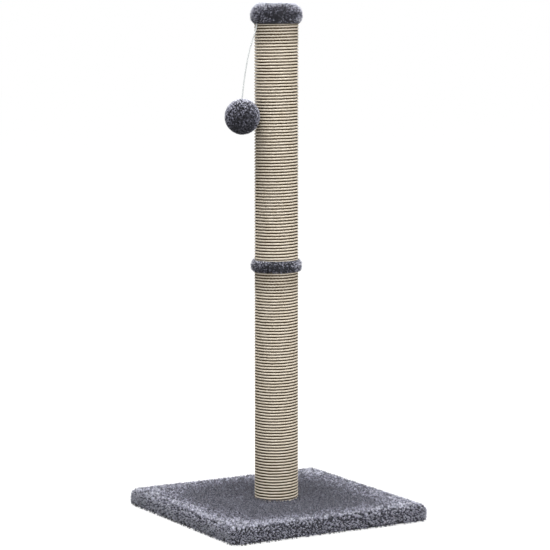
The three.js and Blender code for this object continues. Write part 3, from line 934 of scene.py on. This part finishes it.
def in_sectors(places, number):
    """Which equal sector round the post each place is in."""
    turn = np.arctan2(places[:, 1], places[:, 0]) / math.tau + 0.5
    return np.minimum((turn * number).astype(int), number - 1)


def thickened(cover):
    """Gives a cover its backing's thickness, inwards."""
    wall = cover.modifiers.new("backing", "SOLIDIFY")
    wall.thickness = BACKING
    wall.offset = -1
    return settled(cover)


piles, covers = [], {}
for surface in (base_surface(), cap_surface(), collar_surface(), ball_surface()):
    stem = surface.name.removesuffix("_cover")
    roots = roots_on(surface, len(piles))
    if stem == "base":
        sector = in_sectors(roots[0], BASE_SECTORS)
        for n in range(BASE_SECTORS):
            piles.append(planted(surface, f"base_pile_{n + 1}", [x[sector == n] for x in roots]))
    else:
        piles.append(planted(surface, f"{stem}_pile", roots))
    body = PILES[surface.name][0]
    covers[stem] = surface if stem == "collar" else thickened(surface)
    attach(covers[stem], body)
    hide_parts(f"{stem}_plush")
    print(stem, "cover:", count(covers[stem]), "triangles")
print("pile:", {pile.name: count(pile) for pile in piles})


# %% [markdown]
# ## The sisal winding
#
# Each post section is wound with one unbroken sisal rope, about 78 turns. The rope is a curve that
# climbs round the tube, with a three-lobed section that twists as it runs, so its strands show. A ring
# copied upwards would be easier, but then the turns would be closed rings and no rope.

# %% rope sizes
ROPE_THICK = 4.6 * MM
PITCH = {"lower_sisal": 4.6 * MM, "upper_sisal": 4.71 * MM}
GROOVE_AZIMUTH = math.radians(240)
GROOVE_BELOW_END = 1.2 * MM
STEPS_A_TURN = 150
STRAND_LAY = 15.3 * MM  # rope length in which the strands go once round
SECTION_POINTS = 12
STRAND_DIP = 0.15  # how much thinner the rope is between two strands
LEAST_ROOM = 0.12  # the rope's end is squeezed in under the plush, down to this share of its height
RUN_IN = {  # how far the first and the last turn run in under the plush beside them
    "lower_sisal": (0.0, 2.7 * MM),
    "upper_sisal": (1.7 * MM, 1.0 * MM),
}
OFF_TUBE = 0.05 * MM
WAVER = 0.26 * MM
WAVER_LUMPS = (9 * MM, 3 * MM)
SPARE_TURNS = 2  # tried past both ends; a turn that finds no room is left out


def rope_section():
    """The rope's cross section: three rounded strands, as a closed curve."""
    curve = bpy.data.curves.new("rope_section", "CURVE")
    line = curve.splines.new("POLY")
    line.points.add(SECTION_POINTS - 1)
    line.use_cyclic_u = True
    for n, point in enumerate(line.points):
        angle = math.tau * n / SECTION_POINTS
        radius = ROPE_THICK / 2 * (1 - STRAND_DIP * (1 - math.cos(3 * angle)) / 2)
        point.co = (radius * math.cos(angle), radius * math.sin(angle), 0, 1)
    return shown("rope_section", curve)


def rope_middle(groove, pitch, angle):
    """Height of the rope's middle before its ends are squeezed in; a groove's height sets them all."""
    return groove - pitch / 2 + pitch * (angle - GROOVE_AZIMUTH) / math.tau


def room_for(ends, middle):
    """Bottom and top of the room that the rope has between its neighbours at both ends."""
    return max(ends[0], middle - ROPE_THICK / 2), min(ends[1], middle + ROPE_THICK / 2)


def rope_stretch(name, ends, groove, pitch, section, first, last):
    """A stretch of the winding between two steps."""
    curve = bpy.data.curves.new(name, "CURVE")
    curve.dimensions = "3D"
    curve.bevel_mode = "OBJECT"
    curve.bevel_object = section
    curve.twist_mode = "Z_UP"
    line = curve.splines.new("POLY")
    line.points.add(last - first)
    run = math.tau * (tube_radius + ROPE_THICK / 2)
    out = tube_radius + OFF_TUBE + ROPE_THICK / 2
    angles = [math.tau * step / STEPS_A_TURN for step in range(first, last + 1)]
    middles = [rope_middle(groove, pitch, angle) for angle in angles]
    for angle, middle, point in zip(angles, middles, line.points):
        point.co = (out * math.cos(angle), out * math.sin(angle), middle, 1)
        point.tilt = angle * run / STRAND_LAY
    rope = settled(shown(name, curve))
    heights = np.array([v.co.z for v in rope.data.vertices]).reshape(len(middles), -1)
    for row, middle in zip(heights, middles):
        bottom, top = room_for(ends, middle)
        share = (top - bottom) / ROPE_THICK
        row[:] = (bottom + top) / 2 + (row - middle) * share
    for vertex, height in zip(rope.data.vertices, heights.ravel()):
        broad, fine = (noise.noise(vertex.co / lump) for lump in WAVER_LUMPS)
        near_end = min(height - ends[0], ends[1] - height)
        vertex.co.z = height + WAVER * (broad + fine / 2) * smooth_step(0, ROPE_THICK, near_end)
    return rope


def winding(node, stretches):
    """The whole rope of one post section, in a few pieces that join end to end."""
    low, high = [corner.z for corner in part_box(node)]
    groove, pitch = high - GROOVE_BELOW_END, PITCH[node]
    ends = low - RUN_IN[node][0], high + RUN_IN[node][1]
    last = math.ceil(((high - low) / pitch + SPARE_TURNS) * STEPS_A_TURN)
    angles = {n: math.tau * n / STEPS_A_TURN for n in range(-last, SPARE_TURNS * STEPS_A_TURN)}
    rooms = {n: room_for(ends, rope_middle(groove, pitch, angle)) for n, angle in angles.items()}
    steps = [n for n, (bottom, top) in rooms.items() if top - bottom > LEAST_ROOM * ROPE_THICK]
    cuts = [round(x) for x in np.linspace(steps[0], steps[-1], stretches + 1)]
    section = rope_section()
    pieces = []
    for n, (start, end) in enumerate(zip(cuts, cuts[1:])):
        piece = rope_stretch(f"{node}_rope_{n + 1}", ends, groove, pitch, section, start, end)
        piece.data.polygons.foreach_set("use_smooth", np.ones(len(piece.data.polygons), bool))
        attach(piece, "stand")
        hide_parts(node)
        pieces.append(piece)
    bpy.data.objects.remove(section)
    return pieces


ropes = winding("lower_sisal", 2) + winding("upper_sisal", 2)
print("rope:", {rope.name: count(rope) for rope in ropes})


# %% [markdown]
# ## Shared finishes
#
# Several materials need a colour that wanders between two tones, and small bumps that go with it. Both
# come from one node group. Its inputs are its own on every material, so each sets its own scale,
# sharpness and colours.

# %% shared node group
def mixed(tree, share, first, second, **settings):
    """Two colours mixed."""
    values = {"Factor": share, "A": first, "B": second}
    return add(tree, "ShaderNodeMix", values, data_type="RGBA", **settings).outputs["Result"]


def two_tone_group():
    """Two colours mixed by noise that can be stretched along one direction."""
    tree = bpy.data.node_groups.new("two_tone", "ShaderNodeTree")
    taken = {"Vector": "Vector", "Scale": "Float", "Sharpness": "Float", "Dark": "Color", "Light": "Color"}
    returned = {"Color": "Color", "Value": "Float"}
    for way, kinds in (("INPUT", taken), ("OUTPUT", returned)):
        for name, kind in kinds.items():
            tree.interface.new_socket(name, in_out=way, socket_type=f"NodeSocket{kind}")
    given = add(tree, "NodeGroupInput").outputs
    lumps = {"Vector": given["Vector"], "Scale": given["Scale"], "Detail": 3.0, "Roughness": 0.6}
    centred = maths(tree, "SUBTRACT", add(tree, "ShaderNodeTexNoise", lumps).outputs["Fac"], 0.5)
    around_half = {0: centred, 1: given["Sharpness"], 2: 0.5}
    share = output(tree, "ShaderNodeMath", around_half, operation="MULTIPLY_ADD", use_clamp=True)
    add(tree, "NodeGroupOutput", {"Color": mixed(tree, share, given["Dark"], given["Light"]), "Value": share})
    return tree


TWO_TONE = two_tone_group()


# %% helpers for materials
def material(name, values):
    """A new material with its shader's plain sockets set. Returns it, its tree and its shader."""
    made = bpy.data.materials.new(name)
    made.use_nodes = True
    shader = made.node_tree.nodes["Principled BSDF"]
    give(shader, values)
    return made, made.node_tree, shader


def object_place(tree):
    return add(tree, "ShaderNodeTexCoord").outputs["Object"]


def own_map(tree, stretch):
    """The piece's own map, stretched."""
    along = output(tree, "ShaderNodeUVMap", uv_map="UVMap")
    return output(tree, "ShaderNodeMapping", {"Vector": along, "Scale": stretch})


def grained(tree, place, scale, dark, light, sharpness=2.0):
    """The outputs of the shared group: a colour that wanders between two tones, and its value."""
    values = {"Vector": place, "Scale": scale, "Sharpness": sharpness}
    tones = {"Dark": (*dark, 1), "Light": (*light, 1)}
    return add(tree, "ShaderNodeGroup", values | tones, node_tree=TWO_TONE).outputs


def bumped(tree, shader, height, distance):
    """Lets a value stand up as a bump."""
    give(shader, {"Normal": output(tree, "ShaderNodeBump", {"Distance": distance, "Height": height})})


def vectors(tree, operation, values):
    """The result of a Vector Math node."""
    return output(tree, "ShaderNodeVectorMath", values, operation=operation)


# %% plush
# painted shade deep in the pile: darkest at the roots, less dark halfway up the tuft
PILE_ROOT_SHADE = (0.020, 0.020, 0.026, 1)
PILE_HALF_SHADE = (0.090, 0.090, 0.114, 1)
PILE_TIP = (0.290, 0.292, 0.360, 1)
TONE_SPAN = 12.0  # how many times lighter the lightest tufts are than the darkest
CLOTH_SHARE = 0.6  # how far the shading follows the cloth and not the single strand
SKIM_CURVE = 1.3  # lower spreads the painted sheen further round
PILE_LIGHTEST = (0.66, 0.67, 0.74)
PILE_SHINE = {
    "Roughness": 0.95,
    "Specular IOR Level": 0.15,
    "Sheen Weight": 0.35,
    "Sheen Roughness": 0.5,
    "Sheen Tint": (0.9, 0.92, 1.0, 1),
}


def kept_value(tree, name, kind="Fac"):
    """A number or a direction that was written on the pile's points."""
    return add(tree, "ShaderNodeAttribute", attribute_name=name).outputs[kind]


def plush_material():
    """Painted shade at the roots, lighter tips, each tuft its own tone, and a painted sheen at the cloth's
    rims.
    """
    made, tree, shader = material("plush_pile", PILE_SHINE)
    ramp = add(tree, "ShaderNodeValToRGB", {0: kept_value(tree, "rise")})
    ramp.color_ramp.elements[0].color = PILE_ROOT_SHADE
    ramp.color_ramp.elements[1].color = PILE_TIP
    ramp.color_ramp.elements.new(0.5).color = PILE_HALF_SHADE
    gain = maths(tree, "POWER", TONE_SPAN, maths(tree, "SUBTRACT", kept_value(tree, "tone"), TONE_MIDDLE))
    toned = vectors(tree, "SCALE", {0: ramp.outputs[0], "Scale": gain})
    cloth = output(
        tree, "ShaderNodeVectorTransform", {0: kept_value(tree, "upright", "Vector")},
        vector_type="NORMAL", convert_from="OBJECT", convert_to="WORLD",
    )
    # painted sheen: the colour turns paler where the eye skims the cloth
    skim = add(tree, "ShaderNodeLayerWeight", {"Blend": 0.5, "Normal": cloth}).outputs["Facing"]
    eased = maths(tree, "POWER", skim, SKIM_CURVE)
    paler = maths(tree, "MULTIPLY_ADD", eased, kept_value(tree, "velvet"), 1.0)
    lifted = vectors(tree, "SCALE", {0: toned, "Scale": paler})
    own = add(tree, "ShaderNodeNewGeometry").outputs["Normal"]
    both = add(tree, "ShaderNodeMix", {"Factor": CLOTH_SHARE, "A": own, "B": cloth}, data_type="VECTOR")
    colour = vectors(tree, "MINIMUM", {0: lifted, 1: PILE_LIGHTEST})
    normal = vectors(tree, "NORMALIZE", {0: both.outputs["Result"]})
    give(shader, {"Base Color": colour, "Normal": normal})
    return made


# %% sisal
FIBRE_STRETCH = (900, 46, 1)  # fibres along the rope's map, and across it
FIBRE_TONES = (0.61, 0.53, 0.41), (0.86, 0.79, 0.69)
PATCH_TONES = (0.86, 0.84, 0.80), (1.0, 1.0, 1.0)
GROOVE_SHADE = (0.048, 0.027, 0.007, 1)
SHADE_DEPTHS = (0.76, 0.95)  # shares of the rope's thickness between which the shade fades out


def sisal_material():
    """Straw-coloured fibres along the strands, with painted shade deep between the turns."""
    made, tree, shader = material("sisal_rope", {"Roughness": 0.85, "Specular IOR Level": 0.25})
    fibres = grained(tree, own_map(tree, FIBRE_STRETCH), 1.0, *FIBRE_TONES, 2.4)
    patches = grained(tree, object_place(tree), 60, *PATCH_TONES)
    tinted = mixed(tree, 1.0, fibres["Color"], patches["Color"], blend_type="MULTIPLY")
    flat = vectors(tree, "MULTIPLY", {0: object_place(tree), 1: (1, 1, 0)})
    out = add(tree, "ShaderNodeVectorMath", {0: flat}, operation="LENGTH").outputs["Value"]
    deep, shallow = (tube_radius + share * ROPE_THICK for share in SHADE_DEPTHS)
    fading = {"Value": out, "From Min": deep, "From Max": shallow}
    depth = output(tree, "ShaderNodeMapRange", fading, interpolation_type="SMOOTHSTEP")
    give(shader, {"Base Color": mixed(tree, depth, GROOVE_SHADE, tinted)})
    bumped(tree, shader, fibres["Value"], 0.18 * MM)
    return made


# %% cord and hidden pieces
BRAID_STRETCH = (26, 1.6, 1)
BRAID_TONES = (0.38, 0.40, 0.40, 1), (0.60, 0.62, 0.62, 1)


def cord_material():
    """White elastic: a fine slanting braid."""
    made, tree, shader = material("white_elastic", {"Roughness": 0.6, "Sheen Weight": 0.2})
    waves = {"Vector": own_map(tree, BRAID_STRETCH), "Scale": 1.0}
    wave = add(tree, "ShaderNodeTexWave", waves, wave_type="BANDS", bands_direction="DIAGONAL")
    give(shader, {"Base Color": mixed(tree, wave.outputs["Fac"], *BRAID_TONES)})
    bumped(tree, shader, wave.outputs["Fac"], 0.1 * MM)
    return made


def plain_grain(name, roughness, scale, dark, light, stretch=(1, 1, 1), bump=0.1 * MM, metallic=0.0):
    """A material of two tones of grain, stretched along an axis, with a light bump."""
    made, tree, shader = material(name, {"Roughness": roughness, "Metallic": metallic})
    place = output(tree, "ShaderNodeMapping", {"Vector": object_place(tree), "Scale": stretch})
    grain = grained(tree, place, scale, dark, light)
    give(shader, {"Base Color": grain["Color"]})
    bumped(tree, shader, grain["Value"], bump)
    return made


FINISHES = {
    "chipboard": plain_grain("chipboard", 0.8, 260, (0.33, 0.22, 0.12), (0.66, 0.50, 0.31), (1, 1, 2.5)),
    "paper_tube": plain_grain("kraft_tube", 0.85, 300, (0.33, 0.22, 0.13), (0.47, 0.34, 0.21), (1, 1, 0.3)),
    "pine": plain_grain("pine_plug", 0.6, 90, (0.62, 0.42, 0.22), (0.82, 0.62, 0.38), (1, 6, 1)),
    "zinc_steel": plain_grain(
        "zinc_steel", 0.35, 500, (0.52, 0.53, 0.55), (0.68, 0.69, 0.70), bump=0.02 * MM, metallic=1.0
    ),
    "foam": plain_grain("foam", 0.9, 700, (0.62, 0.60, 0.52), (0.82, 0.80, 0.72), bump=0.4 * MM),
    "plush": plain_grain(
        "plush_backing", 0.95, 900, (0.016, 0.016, 0.020), (0.05, 0.05, 0.06), bump=0.3 * MM
    ),
    "sisal": sisal_material(),
    "cord": cord_material(),
}
PILE_FINISH = plush_material()


def dressed(piece, finish):
    """Gives a piece one material and no other."""
    piece.data.materials.clear()
    piece.data.materials.append(finish)


slot_of = {part["node"]: part["material_slot"] for part in frame["record"]["subparts"]}
for name, node in frame["nodes"].items():
    dressed(node, FINISHES[slot_of[name]])
for piece in covers.values():
    dressed(piece, FINISHES["plush"])
for piece in piles:
    dressed(piece, PILE_FINISH)
for piece in ropes:
    dressed(piece, FINISHES["sisal"])
dressed(cord, FINISHES["cord"])
print("slots:", sorted(set(slot_of.values())))
